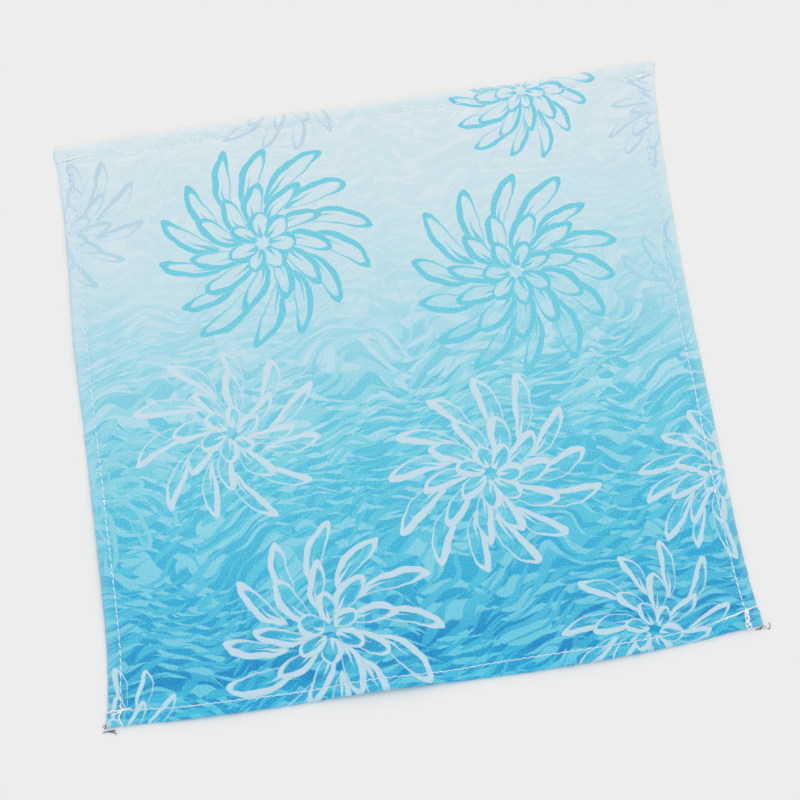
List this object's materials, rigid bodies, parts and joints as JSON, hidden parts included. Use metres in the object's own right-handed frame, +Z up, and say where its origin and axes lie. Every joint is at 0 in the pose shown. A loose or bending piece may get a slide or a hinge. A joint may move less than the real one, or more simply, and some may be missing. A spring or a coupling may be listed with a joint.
{
  "type": "towel handkerchief",
  "caption": "Square cotton towel handkerchief lying flat, printed face up, with a narrow turned hem lockstitched on every side.",
  "frame": {"origin": "centre of the footprint, on the surface that the cloth lies on", "axes": "+Z up out of the printed face, +X to the right and +Y to the back edge as the print is seen upright"},
  "size_m": [0.2544, 0.2544, 0.0037],
  "materials": {
    "printed_cloth": "matte cotton, printed, shading from pale to clear blue",
    "pile_back": "matte white looped cotton pile",
    "sewing_thread": "white twisted polyester sewing thread"
  },
  "bodies": {
    "root": {"cloth": "printed_cloth"}
  },
  "joints": []
}
